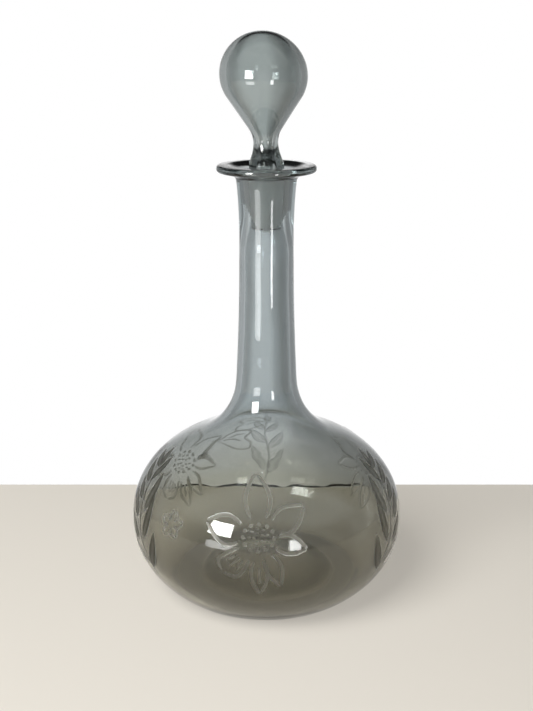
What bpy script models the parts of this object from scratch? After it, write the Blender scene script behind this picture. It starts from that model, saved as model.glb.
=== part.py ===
"""Shaft-and-globe decanter with a ground stopper, blown in smoky clear glass.

Two loose pieces are modelled. The vessel is one blown wall: an everted lip, a ground
taper socket, a long neck, a flattened globe, and a base that is pushed up in the middle.
The stopper is one blown pear that narrows to a stem and ends in an open, ground peg.
Both are turned outlines. Lengths are in metres, +Z is up, and the foot stands on Z = 0.
Heights are stacked from the foot, so a change of one size carries what stands on it.
"""

import math

import bpy
from mathutils import Vector

# Fineness of the turned surfaces
TURN_STEPS = 40
ARC_STEP_DEGREES = 20
SEARCH_STEPS = 900
SOLVE_HALVINGS = 40
MERGE_DISTANCE = 0.00001

# Globe, outside: a squarish ellipse with its underside cut off flat
GLOBE_RADIUS = 0.0750
GLOBE_HALF_HEIGHT = 0.0536
GLOBE_SQUARENESS_SHARE = 2.13
GLOBE_FOOT_CUT = 0.0137
FOOT_WIDTH = 0.0140
FOOT_ROUNDING = 0.0024

# Neck, outside: it narrows to a waist and opens again under the lip
SHOULDER_HEIGHT = 0.0238
NECK_BASE_RADIUS = 0.0167
NECK_TAPER_LENGTH = 0.0784
NECK_WAIST_RADIUS = 0.01445
NECK_FLARE_LENGTH = 0.0323
NECK_TOP_RADIUS = 0.0160

# Lip: a flat flange, dished on top and rounded at its edge
LIP_RADIUS = 0.0261
LIP_THICKNESS = 0.0036
LIP_UNDERSIDE_FALL = 0.0022
LIP_UNDERSIDE_ROUNDING = 0.0040
LIP_EDGE_ROUNDING = 0.0016
LIP_CREST_WIDTH = 0.0062
LIP_DISH_DEPTH = 0.0046
LIP_DISH_ROUNDING = 0.0030

# Glass thickness and the pushed-up base
GLOBE_WALL = 0.0028
NECK_WALL = 0.0033
BASE_WALL = 0.0044
FLOOR_ROUNDING = 0.0090
KICK_HEIGHT = 0.0100

# Ground taper joint: the peg and its socket share the same cone
PEG_TOP_RADIUS = 0.0092
PEG_PROUD_HEIGHT = 0.0002
PEG_LENGTH = 0.0328
JOINT_TAPER_SHARE = 0.10
JOINT_CLEARANCE = 0.0003
SOCKET_LENGTH = 0.0225
SOCKET_MOUTH_ROUNDING = 0.0020
SOCKET_RELIEF_LENGTH = 0.0160
SOCKET_RELIEF_ROUNDING = 0.0200

# Stopper, outside
PEG_TOP_ROUNDING = 0.0009
PEG_END_ROUNDING = 0.0014
STEM_FLARE_LENGTH = 0.0078
STEM_FLARE_ROUNDING = 0.0120
STEM_RADIUS = 0.0064
STEM_LENGTH = 0.0070
STEM_TOP_ROUNDING = 0.0260
BALL_CONE_DEGREES = 34.4
BALL_RADIUS = 0.0224
BALL_LOWER_HALF_HEIGHT = 0.0210
BALL_UPPER_HALF_HEIGHT = 0.0217

# Stopper, inside: one hollow from the ball to the open end of the peg
BALL_WALL = 0.0034
BALL_END_WALL = 0.0020
STEM_BORE_RADIUS = 0.0030
PEG_BORE_RADIUS = 0.0050
PEG_BORE_LENGTH = 0.0240
PEG_BORE_TAPER_LENGTH = 0.0100
PEG_BORE_ROUNDING = 0.0060
PEG_END_INNER_ROUNDING = 0.0006

# Glass: base colours as linear red, green, blue and alpha
VESSEL_GLASS_COLOR = (0.60, 0.62, 0.58, 1)
STOPPER_GLASS_COLOR = (0.66, 0.70, 0.68, 1)
GLASS_ROUGHNESS = 0.02
GLASS_IOR = 1.5

# Heights that follow from the sizes
GLOBE_CENTRE_HEIGHT = GLOBE_HALF_HEIGHT - GLOBE_FOOT_CUT
NECK_BASE_HEIGHT = GLOBE_CENTRE_HEIGHT + GLOBE_HALF_HEIGHT + SHOULDER_HEIGHT
NECK_WAIST_HEIGHT = NECK_BASE_HEIGHT + NECK_TAPER_LENGTH
NECK_TOP_HEIGHT = NECK_WAIST_HEIGHT + NECK_FLARE_LENGTH
LIP_UNDERSIDE_HEIGHT = NECK_TOP_HEIGHT + LIP_UNDERSIDE_FALL
LIP_TOP_HEIGHT = LIP_UNDERSIDE_HEIGHT + LIP_THICKNESS
SOCKET_TOP_HEIGHT = LIP_TOP_HEIGHT - LIP_DISH_DEPTH
SOCKET_BOTTOM_HEIGHT = SOCKET_TOP_HEIGHT - SOCKET_LENGTH
RELIEF_BOTTOM_HEIGHT = SOCKET_BOTTOM_HEIGHT - SOCKET_RELIEF_LENGTH
PEG_TOP_HEIGHT = LIP_TOP_HEIGHT + PEG_PROUD_HEIGHT
PEG_END_HEIGHT = PEG_TOP_HEIGHT - PEG_LENGTH

# Numbers of points along the main curves
NECK_POINTS = 7
SHOULDER_POINTS = 8
GLOBE_POINTS = 10
INNER_GLOBE_POINTS = 9
KICK_POINTS = 6
BALL_UPPER_POINTS = 8
BALL_LOWER_POINTS = 5


def arc_points(centre, start, end, count):
    """Points of a circle's arc about centre, from start to end by the shorter way."""
    first = start - centre
    last = end - centre
    turn = math.atan2(first.x * last.y - first.y * last.x, first.dot(last))
    begin = math.atan2(first.y, first.x)
    points = []
    for index in range(count + 1):
        angle = begin + turn * index / count
        points.append(centre + first.length * Vector((math.cos(angle), math.sin(angle))))
    return points


def rounded_outline(corners):
    """Outline through (radius, height, rounding) corners, each rounded by its own arc.

    A rounding takes at most half of each straight stretch beside it.
    """
    points = [Vector(corners[0][:2])]
    for before, corner, after in zip(corners, corners[1:], corners[2:]):
        vertex = Vector(corner[:2])
        back = Vector(before[:2]) - vertex
        ahead = Vector(after[:2]) - vertex
        half_opening = back.angle(ahead) / 2
        reach = min(corner[2] / math.tan(half_opening), back.length / 2, ahead.length / 2)
        start = vertex + back.normalized() * reach
        end = vertex + ahead.normalized() * reach
        to_centre = (back.normalized() + ahead.normalized()).normalized()
        centre = vertex + to_centre * reach / math.cos(half_opening)
        turn_degrees = 180 - math.degrees(2 * half_opening)
        count = max(1, round(turn_degrees / ARC_STEP_DEGREES))
        points.extend(arc_points(centre, start, end, count))
    points.append(Vector(corners[-1][:2]))
    return points


def globe_point(angle, inset):
    """Point of the globe's outline at a polar angle, or of the inner wall at an inset."""
    power = 2 / GLOBE_SQUARENESS_SHARE
    across = math.copysign(abs(math.cos(angle)) ** power, math.cos(angle))
    up = math.copysign(abs(math.sin(angle)) ** power, math.sin(angle))
    radius = (GLOBE_RADIUS - inset) * across
    height = GLOBE_CENTRE_HEIGHT + (GLOBE_HALF_HEIGHT - inset) * up
    return Vector((radius, height))


def globe_angles(start, end, count):
    """Evenly spaced polar angles, both ends included."""
    return [start + (end - start) * index / (count - 1) for index in range(count)]


def nearest_globe_angle(centre, inset, start, end):
    """Polar angle of the point of the globe's outline that lies nearest to centre."""
    angles = globe_angles(start, end, SEARCH_STEPS)
    return min(angles, key=lambda angle: (globe_point(angle, inset) - centre).length)


def solve(is_low, low, high):
    """Halve the range until it closes on the value where is_low turns false."""
    for _ in range(SOLVE_HALVINGS):
        middle = (low + high) / 2
        if is_low(middle):
            low = middle
        else:
            high = middle
    return (low + high) / 2


def neck_radius(height):
    """Outer radius of the neck: two parabolas that meet level at the waist."""
    if height > NECK_WAIST_HEIGHT:
        along = (height - NECK_WAIST_HEIGHT) / NECK_FLARE_LENGTH
        return NECK_WAIST_RADIUS + (NECK_TOP_RADIUS - NECK_WAIST_RADIUS) * along ** 2
    along = (NECK_WAIST_HEIGHT - height) / NECK_TAPER_LENGTH
    return NECK_WAIST_RADIUS + (NECK_BASE_RADIUS - NECK_WAIST_RADIUS) * along ** 2


def neck_points(high, low, count, wall):
    """Points down the neck between two heights, set in by the wall's thickness."""
    heights = [high + (low - high) * index / (count - 1) for index in range(count)]
    return [Vector((neck_radius(height) - wall, height)) for height in heights]


def shoulder(neck_wall, globe_wall):
    """Arc from the foot of the neck to where it meets the globe, and the angle there.

    The arc leaves the neck in the neck's own direction and touches the globe.
    """
    start = Vector((NECK_BASE_RADIUS - neck_wall, NECK_BASE_HEIGHT))
    spread = 2 * (NECK_BASE_RADIUS - NECK_WAIST_RADIUS) / NECK_TAPER_LENGTH
    outward = Vector((1, spread)).normalized()

    def is_clear(radius):
        centre = start + radius * outward
        angle = nearest_globe_angle(centre, globe_wall, 0, math.pi / 2)
        return (globe_point(angle, globe_wall) - centre).length > radius

    radius = solve(is_clear, 0, GLOBE_RADIUS)
    centre = start + radius * outward
    angle = nearest_globe_angle(centre, globe_wall, 0, math.pi / 2)
    end = globe_point(angle, globe_wall)
    return arc_points(centre, start, end, SHOULDER_POINTS), angle


def bottom_corner(level, rounding, wall):
    """Rounding between the globe's wall and a level face, and the wall's angle there."""
    centre_height = level + rounding

    def is_inside(radius):
        centre = Vector((radius, centre_height))
        angle = nearest_globe_angle(centre, wall, -math.pi / 2, 0)
        return (globe_point(angle, wall) - centre).length > rounding

    radius = solve(is_inside, 0, GLOBE_RADIUS - wall)
    centre = Vector((radius, centre_height))
    angle = nearest_globe_angle(centre, wall, -math.pi / 2, 0)
    turn_degrees = 90 - math.degrees(angle + math.pi / 2)
    count = max(2, round(turn_degrees / ARC_STEP_DEGREES))
    level_point = Vector((radius, level))
    return arc_points(centre, globe_point(angle, wall), level_point, count), angle


def kick_points(edge_radius, lift):
    """Points of the pushed-up base from its edge to the axis, raised by lift."""
    points = []
    for index in range(1, KICK_POINTS + 1):
        share = 1 - index / KICK_POINTS
        points.append(Vector((edge_radius * share, lift + KICK_HEIGHT * (1 - share ** 2))))
    return points


def peg_radius(height):
    """Radius of the ground cone at a height."""
    return PEG_TOP_RADIUS - (PEG_TOP_HEIGHT - height) * JOINT_TAPER_SHARE / 2


def socket_radius(height):
    """Radius of the socket: the same cone, wider by the running clearance."""
    return peg_radius(height) + JOINT_CLEARANCE


def globe_run(start, end, count, wall):
    """Points of the globe's outline between two polar angles, with one on its equator."""
    first_half = globe_angles(start, 0, count)[1:]
    second_half = globe_angles(0, end, count)[1:-1]
    return [globe_point(angle, wall) for angle in first_half + second_half]


def vessel_outline():
    """Outline of the vessel: up the inside, over the lip, down the outside, under."""
    outer_shoulder, outer_top_angle = shoulder(0, 0)
    outer_corner, outer_low_angle = bottom_corner(0, FOOT_ROUNDING, 0)
    inner_shoulder, inner_top_angle = shoulder(NECK_WALL, GLOBE_WALL)
    inner_corner, inner_low_angle = bottom_corner(BASE_WALL, FLOOR_ROUNDING, GLOBE_WALL)
    kick_radius = outer_corner[-1].x - FOOT_WIDTH

    points = kick_points(kick_radius, BASE_WALL)[::-1]
    points.append(Vector((kick_radius, BASE_WALL)))
    points.extend(inner_corner[::-1])
    points.extend(globe_run(inner_low_angle, inner_top_angle, INNER_GLOBE_POINTS, GLOBE_WALL))
    points.extend(inner_shoulder[::-1])
    bore = neck_points(RELIEF_BOTTOM_HEIGHT, NECK_BASE_HEIGHT, NECK_POINTS, NECK_WALL)[::-1]
    points.extend(bore[1:-1])
    points.extend(rounded_outline([
        (bore[-2].x, bore[-2].y, 0),
        (bore[-1].x, bore[-1].y, SOCKET_RELIEF_ROUNDING),
        (socket_radius(SOCKET_BOTTOM_HEIGHT), SOCKET_BOTTOM_HEIGHT, SOCKET_RELIEF_ROUNDING),
        (socket_radius(SOCKET_TOP_HEIGHT), SOCKET_TOP_HEIGHT, SOCKET_MOUTH_ROUNDING),
        (LIP_RADIUS - LIP_CREST_WIDTH, LIP_TOP_HEIGHT, LIP_DISH_ROUNDING),
        (LIP_RADIUS, LIP_TOP_HEIGHT, LIP_EDGE_ROUNDING),
        (LIP_RADIUS, LIP_UNDERSIDE_HEIGHT, LIP_EDGE_ROUNDING),
        (NECK_TOP_RADIUS, NECK_TOP_HEIGHT, LIP_UNDERSIDE_ROUNDING),
        (NECK_WAIST_RADIUS, NECK_WAIST_HEIGHT, 0),
    ])[1:-1])
    points.extend(neck_points(NECK_TOP_HEIGHT, NECK_WAIST_HEIGHT, NECK_POINTS, 0)[2:-1])
    points.extend(neck_points(NECK_WAIST_HEIGHT, NECK_BASE_HEIGHT, NECK_POINTS, 0)[:-1])
    points.extend(outer_shoulder)
    points.extend(globe_run(outer_top_angle, outer_low_angle, GLOBE_POINTS, 0))
    points.extend(outer_corner)
    points.append(Vector((kick_radius, 0)))
    points.extend(kick_points(kick_radius, 0))
    return points


def ball_outline(centre_height, inset, end_inset, stem_radius):
    """Ball from its top down to its cone, and the height where the cone meets the stem."""
    radius = BALL_RADIUS - inset
    upper = BALL_UPPER_HALF_HEIGHT - end_inset
    lower = BALL_LOWER_HALF_HEIGHT - end_inset
    cone = math.radians(BALL_CONE_DEGREES)
    cone_angle = math.atan(math.tan(cone) * lower / radius)
    points = []
    for index in range(BALL_UPPER_POINTS):
        angle = math.pi / 2 * (1 - index / BALL_UPPER_POINTS)
        points.append(Vector((radius * math.cos(angle), centre_height + upper * math.sin(angle))))
    points[0].x = 0
    for index in range(BALL_LOWER_POINTS + 1):
        angle = cone_angle * index / BALL_LOWER_POINTS
        points.append(Vector((radius * math.cos(angle), centre_height - lower * math.sin(angle))))
    stem_height = points[-1].y - (points[-1].x - stem_radius) / math.tan(cone)
    return points, stem_height


def stopper_outline():
    """Outline of the stopper: down the outside, under the peg, up the hollow."""
    stem_top_height = PEG_TOP_HEIGHT + STEM_FLARE_LENGTH + STEM_LENGTH
    drop = ball_outline(0, 0, 0, STEM_RADIUS)[1]
    centre_height = stem_top_height - drop
    outer_ball = ball_outline(centre_height, 0, 0, STEM_RADIUS)[0]
    inner_ball, bore_top_height = ball_outline(
        centre_height, BALL_WALL, BALL_END_WALL, STEM_BORE_RADIUS)
    bore_shoulder_height = PEG_END_HEIGHT + PEG_BORE_LENGTH
    bore_neck_height = bore_shoulder_height + PEG_BORE_TAPER_LENGTH

    points = outer_ball[:-1]
    points.extend(rounded_outline([
        (outer_ball[-1].x, outer_ball[-1].y, 0),
        (STEM_RADIUS, stem_top_height, STEM_TOP_ROUNDING),
        (STEM_RADIUS, stem_top_height - STEM_LENGTH, STEM_FLARE_ROUNDING),
        (PEG_TOP_RADIUS, PEG_TOP_HEIGHT, PEG_TOP_ROUNDING),
        (peg_radius(PEG_END_HEIGHT), PEG_END_HEIGHT, PEG_END_ROUNDING),
        (PEG_BORE_RADIUS, PEG_END_HEIGHT, PEG_END_INNER_ROUNDING),
        (PEG_BORE_RADIUS, bore_shoulder_height, PEG_BORE_ROUNDING),
        (STEM_BORE_RADIUS, bore_neck_height, PEG_BORE_ROUNDING),
        (STEM_BORE_RADIUS, bore_top_height, STEM_TOP_ROUNDING),
        (inner_ball[-1].x, inner_ball[-1].y, 0),
    ]))
    points.extend(inner_ball[-2::-1])
    return points


def glass(name, color):
    """Clear glass with a faint body colour."""
    material = bpy.data.materials.new(name)
    material.use_nodes = True
    shader = material.node_tree.nodes["Principled BSDF"]
    shader.inputs["Base Color"].default_value = color
    shader.inputs["Roughness"].default_value = GLASS_ROUGHNESS
    shader.inputs["Metallic"].default_value = 0
    shader.inputs["IOR"].default_value = GLASS_IOR
    shader.inputs["Transmission Weight"].default_value = 1
    return material


def turned_piece(name, outline, base_height, material, collection):
    """Turn an outline once round the Z axis, with the piece's origin at base_height."""
    mesh = bpy.data.meshes.new(name)
    vertices = [(point.x, 0, point.y - base_height) for point in outline]
    edges = [(index, index + 1) for index in range(len(outline) - 1)]
    mesh.from_pydata(vertices, edges, [])
    mesh.materials.append(material)
    piece = bpy.data.objects.new(name, mesh)
    piece.location = (0, 0, base_height)
    collection.objects.link(piece)
    screw = piece.modifiers.new("Turn", "SCREW")
    screw.axis = "Z"
    screw.angle = 2 * math.pi
    screw.screw_offset = 0
    screw.steps = TURN_STEPS
    screw.render_steps = TURN_STEPS
    screw.use_smooth_shade = True
    screw.use_merge_vertices = True
    screw.merge_threshold = MERGE_DISTANCE
    return piece


def build():
    """Clear the scene and make the vessel and its stopper."""
    for leftover in list(bpy.data.objects):
        bpy.data.objects.remove(leftover)
    collection = bpy.data.collections.new("etched_glass_decanter")
    bpy.context.scene.collection.children.link(collection)

    smoky_glass = glass("smoky_blown_glass", VESSEL_GLASS_COLOR)
    stopper_glass = glass("clear_blown_glass", STOPPER_GLASS_COLOR)
    turned_piece("decanter_body", vessel_outline(), 0, smoky_glass, collection)
    turned_piece("stopper", stopper_outline(), SOCKET_TOP_HEIGHT, stopper_glass, collection)


build()
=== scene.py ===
"""Looks of the etched glass decanter, laid out as a Blender add-on and run as a script.

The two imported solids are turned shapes. Each one's section is read from the frame, smoothed,
spun finely and finished as blown glass, with its ground faces matt. The etched flowers and
leaf sprays are thin matt films that lie on the globe. Lengths are in metres and +Z is up.
-Y is the side that the photograph shows.
"""

import math

import bmesh
import bpy
import numpy as np
from bpy.props import FloatProperty, FloatVectorProperty, IntProperty, PointerProperty
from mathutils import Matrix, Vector, noise


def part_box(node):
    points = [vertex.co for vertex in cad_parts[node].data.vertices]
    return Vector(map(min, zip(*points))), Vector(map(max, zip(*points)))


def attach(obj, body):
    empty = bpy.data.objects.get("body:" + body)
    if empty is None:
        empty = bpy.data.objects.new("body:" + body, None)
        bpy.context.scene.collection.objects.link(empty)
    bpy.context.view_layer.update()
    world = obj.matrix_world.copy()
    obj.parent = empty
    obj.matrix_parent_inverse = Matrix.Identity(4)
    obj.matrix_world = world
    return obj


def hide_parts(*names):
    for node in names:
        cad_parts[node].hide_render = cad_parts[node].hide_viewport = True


bl_info = {
    "name": "Etched Glass Decanter",
    "version": (1, 0, 0),
    "blender": (4, 5, 0),
    "location": "3D View > Sidebar > Decanter",
    "description": "Blows, grinds, etches and lights a shaft-and-globe decanter",
    "category": "Object",
}

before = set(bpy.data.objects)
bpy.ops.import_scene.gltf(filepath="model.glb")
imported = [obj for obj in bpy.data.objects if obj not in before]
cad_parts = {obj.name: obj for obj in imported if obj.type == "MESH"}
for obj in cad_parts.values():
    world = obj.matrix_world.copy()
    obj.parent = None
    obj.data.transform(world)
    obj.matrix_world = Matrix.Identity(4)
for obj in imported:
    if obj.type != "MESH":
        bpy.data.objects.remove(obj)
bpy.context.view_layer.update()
BODY_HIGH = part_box("decanter_body")[1]
STOPPER_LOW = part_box("stopper")[0]

# Names of the attributes that say how deeply a point is etched, how matt it is ground, and how
# much painted shade deepens its tone: the painted shadow under the base, and the painted shade in
# the lip's dish, at the peg's end and at the stem's foot
FROST = "frost"
GROUND = "ground"
PAINTED_SHADE = "shade"

# Tolerances
WELD_DISTANCE = 0.000005
ON_PLANE = 0.000001

# A step of an outline that is this many times longer than both its neighbours is a straight taper
STRAIGHT_RATIO = 3

# Real sizes behind the patterns, as distances between their spots and as depths. Emery grit and
# the acid's bite are finer than this, and are drawn as coarse as they need to be to show.
SMEAR_SIZE = 0.012
SWELL_SIZE, SWELL_DEPTH = 0.020, 0.00006
GRIT_SIZE, GRIT_DEPTH = 0.0006, 0.00004
BITE_SIZE, BITE_DEPTH = 0.0009, 0.00003

# Least and most roughness of fire polished, ground and etched glass, of the table and of the
# painted shadow behind it
POLISHED_ROUGHNESS = (0.0, 0.035)
GROUND_ROUGHNESS = (0.45, 0.75)
ETCHED_ROUGHNESS = (0.02, 0.70)
TABLE_ROUGHNESS, GAP_SHADOW_ROUGHNESS = 0.8, 0.9

# How strongly glass bends light. The films lie over glass that bends it already, so theirs is
# low, and so is their gloss.
GLASS_IOR = 1.52
FILM_IOR = 1.12
FILM_GLOSS = 0.1


def linear(hex_color):
    """Linear red, green, blue and alpha of an sRGB colour written as six hex digits."""
    values = [int(hex_color[index:index + 2], 16) / 255 for index in (0, 2, 4)]
    curve = [v / 12.92 if v <= 0.04045 else ((v + 0.055) / 1.055) ** 2.4 for v in values]
    return (*curve, 1)


def add_node(tree, kind, settings=None, links=None):
    """Add one shader node, set its inputs or its own settings, and link its inputs."""
    node = tree.nodes.new(kind)
    for name, value in (settings or {}).items():
        if isinstance(name, int) or name in node.inputs:
            node.inputs[name].default_value = value
        else:
            setattr(node, name, value)
    for name, socket in (links or {}).items():
        tree.links.new(socket, node.inputs[name])
    return node


def new_material(name):
    """An empty node material and its node tree."""
    material = bpy.data.materials.new(name)
    material.use_nodes = True
    tree = material.node_tree
    tree.nodes.clear()
    return material, tree


class GlassSettings(bpy.types.PropertyGroup):
    """Sizes and colours of the blown glass."""

    turn_steps: IntProperty(
        name="Turn steps", description="Faces round the axis", default=192, min=24)
    outline_spacing: FloatProperty(
        name="Outline spacing", description="Longest step along a smoothed section",
        default=0.0020, unit="LENGTH")
    inner_waviness: FloatProperty(
        name="Inner waviness", description="How far the blown inner wall wanders",
        default=0.00015, unit="LENGTH")
    waviness_length: FloatProperty(
        name="Waviness length", description="Distance between the wall's slow swells",
        default=0.016, unit="LENGTH")
    stopper_lean: FloatProperty(
        name="Stopper lean", description="Angle by which the hand-made stopper leans to the left",
        default=math.radians(1.9), subtype="ANGLE")
    ground_top: FloatProperty(
        name="Ground top", description="From the lip's top down to the ground socket",
        default=0.0048, unit="LENGTH")
    ground_length: FloatProperty(
        name="Ground length", description="Height of the ground band in the socket",
        default=0.0282, unit="LENGTH")
    ground_rise: FloatProperty(
        name="Ground rise", description="How much higher that band ends at its sides",
        default=0.0115, unit="LENGTH")
    ground_rag: FloatProperty(
        name="Ground rag", description="How unevenly it ends", default=0.0010, unit="LENGTH")
    # Painted shade on the peg: how far it reaches above the lip, and the height of the dark band
    # painted at the peg's polished end
    peg_shade_rise: FloatProperty(
        name="Peg rise", description="How far the shaded peg shows above the lip",
        default=0.0025, unit="LENGTH")
    peg_end_shade: FloatProperty(
        name="Peg end", description="Height of the polished edge at the peg's end", default=0.0008,
        unit="LENGTH")
    neck_color: FloatVectorProperty(
        name="Neck colour", description="What the surfaces of one wall of the neck let through",
        default=linear("CFD5D7")[:3], subtype="COLOR", size=3)
    globe_color: FloatVectorProperty(
        name="Globe colour", description="What those of the globe let through, which is warmer",
        default=linear("DCDCD8")[:3], subtype="COLOR", size=3)
    stopper_color: FloatVectorProperty(
        name="Stopper colour",
        description="What the surfaces of one wall of the stopper let through",
        default=linear("CACFCE")[:3], subtype="COLOR", size=3)
    depth_color: FloatVectorProperty(
        name="Depth colour", description="Tone that the glass takes on where it is thick",
        default=linear("C0CBCC")[:3], subtype="COLOR", size=3)
    depth_density: FloatProperty(
        name="Depth density", description="How fast the tone deepens, for each metre of glass",
        default=40)
    belly_color: FloatVectorProperty(
        name="Belly colour", description="What the globe's wall lets through low down",
        default=linear("C2BFB0")[:3], subtype="COLOR", size=3)
    # Deeper at a slant on the belly: partly the longer path through the wall, partly painted shade
    # on its rims
    rim_color: FloatVectorProperty(
        name="Rim colour", description="What it lets through there when seen at a slant",
        default=linear("5C594E")[:3], subtype="COLOR", size=3)
    # Painted shadow under the base: its colour, and the height and radius that it covers
    base_shadow_color: FloatVectorProperty(
        name="Base colour", description="What the thick base lets through",
        default=linear("6A6655")[:3], subtype="COLOR", size=3)
    base_shadow_height: FloatProperty(
        name="Base height", description="Up to which the base looks deeper", default=0.0120,
        unit="LENGTH")
    base_shadow_radius: FloatProperty(
        name="Base radius", description="Within which the base looks deeper", default=0.0370,
        unit="LENGTH")
    ground_color: FloatVectorProperty(
        name="Ground colour", description="Grey of the matt ground faces",
        default=linear("F2F5F4")[:3], subtype="COLOR", size=3)
    # Painted shade: its colour in the lip's dish, on the peg's end and at the stem's foot, and
    # where in the dish it begins and over what width it deepens
    dish_shade_color: FloatVectorProperty(
        name="Dish colour", description="Tone in the dished top of the lip",
        default=linear("1E201F")[:3], subtype="COLOR", size=3)
    dish_shade_start: FloatProperty(
        name="Dish start", description="From the axis to where the dish's tone begins to deepen",
        default=0.0120, unit="LENGTH")
    dish_shade_spread: FloatProperty(
        name="Dish spread", description="Over which it deepens", default=0.0040, unit="LENGTH")
    ground_clearness: FloatProperty(
        name="Ground clearness", description="Share of the light that the matt faces let through",
        default=0.92)


class EtchingSettings(bpy.types.PropertyGroup):
    """Sizes of the etched ornament, which is drawn flat and wrapped round the globe."""

    wall_depth: FloatProperty(
        name="Wall depth", description="How far the globe's wall is drawn in under the ornament",
        default=0.00012, unit="LENGTH")
    frost_thickness: FloatProperty(
        name="Frost thickness", description="Thickness of the matt skin",
        default=0.00004, unit="LENGTH")
    stroke_width: FloatProperty(
        name="Stroke width", description="Width of a drawn line",
        default=0.0023, unit="LENGTH")
    stroke_step: FloatProperty(
        name="Stroke step", description="Longest step along a drawn line",
        default=0.0009, unit="LENGTH")
    bead_length: FloatProperty(
        name="Bead length", description="Length of one dash in a flower's eye",
        default=0.0020, unit="LENGTH")
    frost_color: FloatVectorProperty(
        name="Frost colour", description="Pale grey of the etched glass",
        default=linear("DEDDD8")[:3], subtype="COLOR", size=3)
    # The leaves' frost is real, and its deeper grey is painted shade for the dark surroundings
    # that the leaves scatter
    leaf_shade_color: FloatVectorProperty(
        name="Leaf colour", description="Deeper grey of the leaves, which are etched all over",
        default=linear("8F8E86")[:3], subtype="COLOR", size=3)


class StageSettings(bpy.types.PropertyGroup):
    """Camera, table and lamps."""

    camera_distance: FloatProperty(
        name="Camera distance", description="From the decanter's axis to the lens, level",
        default=0.575, unit="LENGTH")
    camera_height: FloatProperty(
        name="Camera height", description="From the table to the lens",
        default=0.305, unit="LENGTH")
    camera_pitch: FloatProperty(
        name="Camera pitch", description="How far the camera looks down",
        default=math.radians(16.8432), subtype="ANGLE")
    camera_lens: FloatProperty(
        name="Focal length", description="In millimetres on a 36 mm sensor",
        default=56.133)
    table_back: FloatProperty(
        name="Table back", description="From the axis to the table's far edge",
        default=0.127, unit="LENGTH")
    # Painted shadow: a dark strip that stands for the shade in the gap behind the table's far edge
    gap_shadow_height: FloatProperty(
        name="Edge height", description="Height of the dark gap behind the table's far edge",
        default=0.0016, unit="LENGTH")
    gap_shadow_half_length: FloatProperty(
        name="Edge half length", description="From the middle of that gap to its end",
        default=0.085, unit="LENGTH")
    table_color: FloatVectorProperty(
        name="Table colour", description="Pale matt top",
        default=linear("E4DED3")[:3], subtype="COLOR", size=3)
    sky_light: FloatProperty(
        name="Sky light", description="Strength of the light that comes from all round",
        default=0.38)
    front_room: FloatProperty(
        name="Front room", description="Brightness of the room in front, as the glass mirrors it",
        default=0.8)
    window_side: FloatProperty(
        name="Window side", description="Brightness high in front, as the thick glass bends it in",
        default=1.5)
    soft_box_radiance: FloatProperty(
        name="Soft box", description="Radiance of the large lamp at the upper left",
        default=4.2)
    fill_radiance: FloatProperty(
        name="Fill", description="Radiance of the shadowless lamp that lights matt glass",
        default=1.7)


def section_of(node):
    """Outline of a turned node for X >= 0, from one end on its axis to the other."""
    mesh = bmesh.new()
    mesh.from_mesh(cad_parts[node].data)
    bmesh.ops.remove_doubles(mesh, verts=mesh.verts, dist=WELD_DISTANCE)
    bmesh.ops.bisect_plane(
        mesh, geom=mesh.verts[:] + mesh.edges[:] + mesh.faces[:], dist=ON_PLANE,
        plane_co=(0, 0, 0), plane_no=(0, 1, 0), clear_inner=True, clear_outer=True)
    left = [v for v in mesh.verts if v.co.x < -WELD_DISTANCE]
    bmesh.ops.delete(mesh, geom=left, context="VERTS")
    ends = [v for v in mesh.verts if len(v.link_edges) == 1]
    current = max(ends, key=lambda v: v.co.z)
    outline, edge = [current.co.xz.copy()], None
    while True:
        onward = [e for e in current.link_edges if e is not edge]
        if not onward:
            break
        edge = onward[0]
        current = edge.other_vert(current)
        outline.append(current.co.xz.copy())
    mesh.free()
    return outline


def smoothed(outline, spacing):
    """The outline as a centripetal spline through its points, in steps of at most spacing.

    A step far longer than both its neighbours is a straight taper, and stays straight.
    """
    first = Vector((-outline[1].x, outline[1].y))
    last = Vector((-outline[-2].x, outline[-2].y))
    knots = [first, *outline, last]
    points = []
    for p0, p1, p2, p3 in zip(knots, knots[1:], knots[2:], knots[3:]):
        t1 = math.sqrt((p1 - p0).length)
        t2 = t1 + math.sqrt((p2 - p1).length)
        t3 = t2 + math.sqrt((p3 - p2).length)
        count = max(2, math.ceil((p2 - p1).length / spacing))
        if (p2 - p1).length > STRAIGHT_RATIO * max((p1 - p0).length, (p3 - p2).length):
            points += [p1.lerp(p2, index / count) for index in range(count)]
            continue
        for index in range(count):
            t = t1 + (t2 - t1) * index / count
            a1 = p0.lerp(p1, t / t1)
            a2 = p1.lerp(p2, (t - t1) / (t2 - t1))
            a3 = p2.lerp(p3, (t - t2) / (t3 - t2))
            b1 = a1.lerp(a2, t / t2)
            b2 = a2.lerp(a3, (t - t1) / (t3 - t1))
            points.append(b1.lerp(b2, (t - t1) / (t2 - t1)))
    points.append(outline[-1].copy())
    lowest = min(point.y for point in outline)
    for point in points:
        point.y = max(point.y, lowest)
    return points


def spun(outline, steps):
    """A bmesh of the outline turned once round the Z axis, closed and facing outwards."""
    mesh = bmesh.new()
    ring = [mesh.verts.new((max(point.x, 0), 0, point.y)) for point in outline]
    edges = [mesh.edges.new(pair) for pair in zip(ring, ring[1:])]
    bmesh.ops.spin(
        mesh, geom=ring + edges, cent=(0, 0, 0), axis=(0, 0, 1), angle=2 * math.pi,
        steps=steps, use_merge=True)
    bmesh.ops.remove_doubles(mesh, verts=mesh.verts, dist=WELD_DISTANCE)
    bmesh.ops.recalc_face_normals(mesh, faces=mesh.faces)
    mesh.normal_update()
    return mesh


def made(name, mesh, material):
    """Turn a bmesh into an object of one material."""
    data = bpy.data.meshes.new(name)
    mesh.to_mesh(data)
    mesh.free()
    data.materials.append(material)
    thing = bpy.data.objects.new(name, data)
    bpy.context.scene.collection.objects.link(thing)
    return thing


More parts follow.
